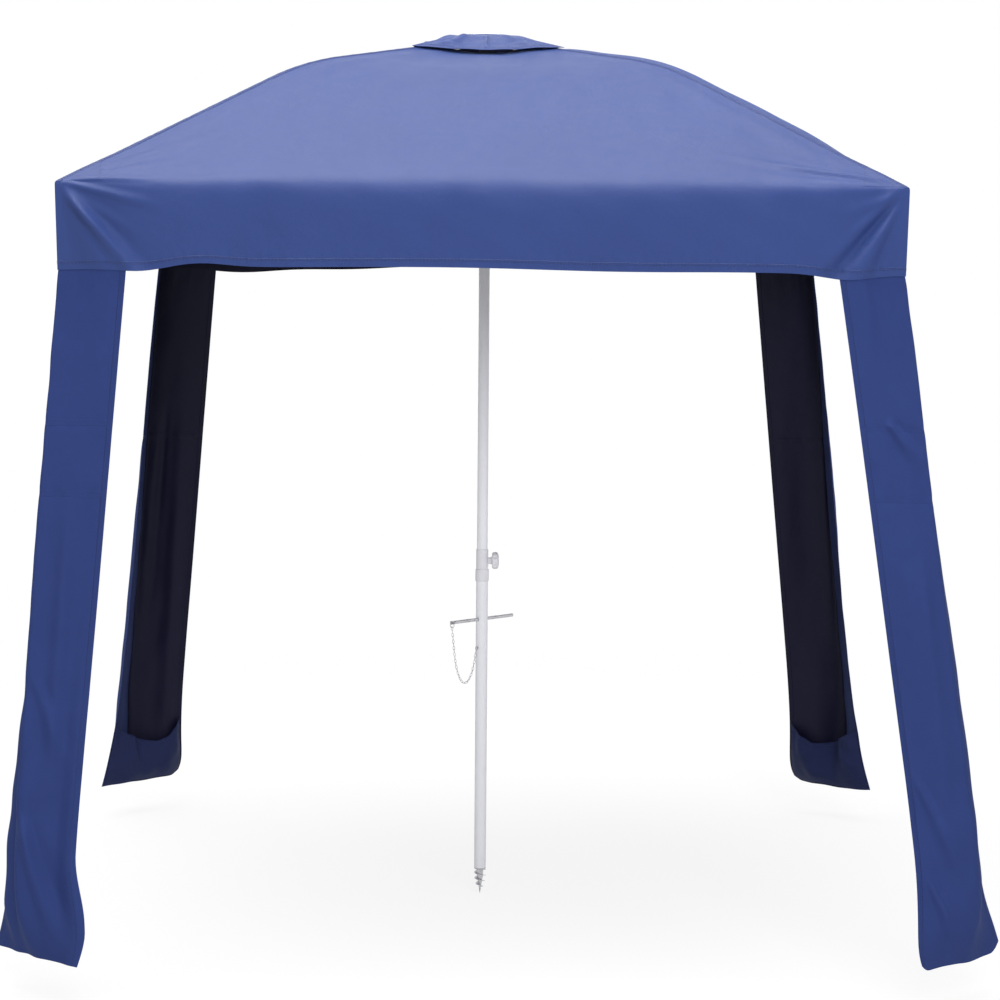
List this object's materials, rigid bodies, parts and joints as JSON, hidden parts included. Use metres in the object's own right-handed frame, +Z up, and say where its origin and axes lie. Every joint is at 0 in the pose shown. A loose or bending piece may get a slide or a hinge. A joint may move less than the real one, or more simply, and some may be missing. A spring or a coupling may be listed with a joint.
{
  "type": "gazebo",
  "caption": "Beach cabana: a square domed fabric canopy with fabric legs and sand pockets on a planted telescoping centre pole, with an umbrella frame, screw tip, handle bar and height clamp.",
  "frame": {"origin": "On the pole's axis at the level of the sand, where the planted pole goes into the ground", "axes": "+Z up along the pole, -Y the front that the picture shows, +X to its right"},
  "size_m": [2.2736, 2.2696, 2.2018],
  "materials": {
    "navy_cloth": "matt coated polyester, navy",
    "white_paint": "smooth white enamel on steel tube",
    "white_plastic": "moulded white plastic",
    "bright_steel": "plated steel",
    "grey_rod": "drawn steel rod, dull grey",
    "black_plastic": "moulded black plastic"
  },
  "bodies": {
    "lower_pole": {"lower_pole": "white_paint", "auger_tip": "bright_steel", "clamp_collar": "white_plastic", "chain_eye": "bright_steel", "chain": "bright_steel"},
    "clamp_knob": {"clamp_knob": "white_plastic", "clamp_screw": "bright_steel"},
    "handle_bar": {"handle_bar": "bright_steel", "split_ring": "bright_steel"},
    "upper_pole": {"upper_pole": "white_paint", "pole_plug": "black_plastic", "crown_hub": "black_plastic", "crown_wire": "bright_steel", "finial_cap": "white_plastic"},
    "catch": {"catch_button": "bright_steel"},
    "runner": {"runner": "black_plastic"},
    "rib_front_left": {"rib_front_left": "grey_rod", "bracket_front_left": "black_plastic", "bracket_pin_front_left": "bright_steel", "tip_cap_front_left": "black_plastic", "canopy_front_left": "navy_cloth", "vent_cap_front_left": "navy_cloth"},
    "stretcher_front_left": {"stretcher_front_left": "grey_rod"},
    "leg_front_left": {"valance_front_left": "navy_cloth", "leg_front_left": "navy_cloth", "sand_pocket_front_left": "navy_cloth"},
    "rib_front_right": {"rib_front_right": "grey_rod", "bracket_front_right": "black_plastic", "bracket_pin_front_right": "bright_steel", "tip_cap_front_right": "black_plastic", "canopy_front_right": "navy_cloth", "vent_cap_front_right": "navy_cloth"},
    "stretcher_front_right": {"stretcher_front_right": "grey_rod"},
    "leg_front_right": {"valance_front_right": "navy_cloth", "leg_front_right": "navy_cloth", "sand_pocket_front_right": "navy_cloth"},
    "rib_back_left": {"rib_back_left": "grey_rod", "bracket_back_left": "black_plastic", "bracket_pin_back_left": "bright_steel", "tip_cap_back_left": "black_plastic", "canopy_back_left": "navy_cloth", "vent_cap_back_left": "navy_cloth"},
    "stretcher_back_left": {"stretcher_back_left": "grey_rod"},
    "leg_back_left": {"valance_back_left": "navy_cloth", "leg_back_left": "navy_cloth", "sand_pocket_back_left": "navy_cloth"},
    "rib_back_right": {"rib_back_right": "grey_rod", "bracket_back_right": "black_plastic", "bracket_pin_back_right": "bright_steel", "tip_cap_back_right": "black_plastic", "canopy_back_right": "navy_cloth", "vent_cap_back_right": "navy_cloth"},
    "stretcher_back_right": {"stretcher_back_right": "grey_rod"},
    "leg_back_right": {"valance_back_right": "navy_cloth", "leg_back_right": "navy_cloth", "sand_pocket_back_right": "navy_cloth"}
  },
  "joints": [
    {"name": "pole_height", "type": "slide", "parent": "lower_pole", "child": "upper_pole", "axis": [0, 0, 1], "range_m": [0, 0.1]},
    {"name": "clamp_turn", "type": "hinge", "parent": "lower_pole", "child": "clamp_knob", "pos_m": [0, 0, 0.772], "axis": [1, 0, 0], "range_deg": [0, 360]},
    {"name": "bar_slide", "type": "slide", "parent": "lower_pole", "child": "handle_bar", "axis": [0.6833, 0.7302, 0], "range_m": [-0.09, 0.08]},
    {"name": "catch_press", "type": "slide", "parent": "upper_pole", "child": "catch", "axis": [0, 1, 0], "range_m": [0, 0.0031], "stiffness_N_per_m": 600, "springref_m": -0.003},
    {"name": "canopy_fold", "type": "hinge", "parent": "upper_pole", "child": "rib_front_left", "pos_m": [-0.01697, -0.01697, 2.079], "axis": [0.7071, -0.7071, 0], "range_deg": [0, 70], "deforming": ["canopy_front_left", "vent_cap_front_left", "valance_front_left", "leg_front_left", "sand_pocket_front_left", "canopy_front_right", "vent_cap_front_right", "valance_front_right", "leg_front_right", "sand_pocket_front_right", "canopy_back_left", "vent_cap_back_left", "valance_back_left", "leg_back_left", "sand_pocket_back_left", "canopy_back_right", "vent_cap_back_right", "valance_back_right", "leg_back_right", "sand_pocket_back_right"]},
    {"name": "rib_turn_front_right", "type": "hinge", "parent": "upper_pole", "child": "rib_front_right", "pos_m": [0.01697, -0.01697, 2.079], "axis": [0.7071, 0.7071, 0], "range_deg": [0, 70.5]},
    {"name": "rib_turn_back_left", "type": "hinge", "parent": "upper_pole", "child": "rib_back_left", "pos_m": [-0.01697, 0.01697, 2.079], "axis": [-0.7071, -0.7071, 0], "range_deg": [0, 70.5]},
    {"name": "rib_turn_back_right", "type": "hinge", "parent": "upper_pole", "child": "rib_back_right", "pos_m": [0.01697, 0.01697, 2.079], "axis": [-0.7071, 0.7071, 0], "range_deg": [0, 70.5]},
    {"name": "stretcher_turn_front_left", "type": "hinge", "parent": "rib_front_left", "child": "stretcher_front_left", "pos_m": [-0.36416, -0.36416, 1.99413], "axis": [0.7071, -0.7071, 0], "range_deg": [-141, 0]},
    {"name": "stretcher_turn_front_right", "type": "hinge", "parent": "rib_front_right", "child": "stretcher_front_right", "pos_m": [0.36416, -0.36416, 1.99413], "axis": [0.7071, 0.7071, 0], "range_deg": [-141, 0]},
    {"name": "stretcher_turn_back_left", "type": "hinge", "parent": "rib_back_left", "child": "stretcher_back_left", "pos_m": [-0.36416, 0.36416, 1.99413], "axis": [-0.7071, -0.7071, 0], "range_deg": [-141, 0]},
    {"name": "stretcher_turn_back_right", "type": "hinge", "parent": "rib_back_right", "child": "stretcher_back_right", "pos_m": [0.36416, 0.36416, 1.99413], "axis": [-0.7071, 0.7071, 0], "range_deg": [-141, 0]},
    {"name": "leg_hang_front_left", "type": "hinge", "parent": "rib_front_left", "child": "leg_front_left", "pos_m": [-0.91987, -0.91987, 1.7005], "axis": [0.7071, -0.7071, 0], "range_deg": [-70.5, 0]},
    {"name": "leg_hang_front_right", "type": "hinge", "parent": "rib_front_right", "child": "leg_front_right", "pos_m": [0.91987, -0.91987, 1.7005], "axis": [0.7071, 0.7071, 0], "range_deg": [-70.5, 0]},
    {"name": "leg_hang_back_left", "type": "hinge", "parent": "rib_back_left", "child": "leg_back_left", "pos_m": [-0.91987, 0.91987, 1.7005], "axis": [-0.7071, -0.7071, 0], "range_deg": [-70.5, 0]},
    {"name": "leg_hang_back_right", "type": "hinge", "parent": "rib_back_right", "child": "leg_back_right", "pos_m": [0.91987, 0.91987, 1.7005], "axis": [-0.7071, 0.7071, 0], "range_deg": [-70.5, 0]},
    {"name": "runner_slide", "type": "slide", "parent": "upper_pole", "child": "runner", "axis": [0, 0, 1], "range_m": [-0.8116, 0]}
  ],
  "couplings": [
    {"joint": "rib_turn_front_right", "follows": "canopy_fold", "ratio": 1},
    {"joint": "rib_turn_back_left", "follows": "canopy_fold", "ratio": 1},
    {"joint": "rib_turn_back_right", "follows": "canopy_fold", "ratio": 1},
    {"joint": "stretcher_turn_front_left", "follows": "canopy_fold", "ratio": -2},
    {"joint": "stretcher_turn_front_right", "follows": "canopy_fold", "ratio": -2},
    {"joint": "stretcher_turn_back_left", "follows": "canopy_fold", "ratio": -2},
    {"joint": "stretcher_turn_back_right", "follows": "canopy_fold", "ratio": -2},
    {"joint": "leg_hang_front_left", "follows": "canopy_fold", "ratio": -1},
    {"joint": "leg_hang_front_right", "follows": "canopy_fold", "ratio": -1},
    {"joint": "leg_hang_back_left", "follows": "canopy_fold", "ratio": -1},
    {"joint": "leg_hang_back_right", "follows": "canopy_fold", "ratio": -1},
    {"joint": "runner_slide", "follows": "canopy_fold", "m_per_rad": -0.66388}
  ]
}
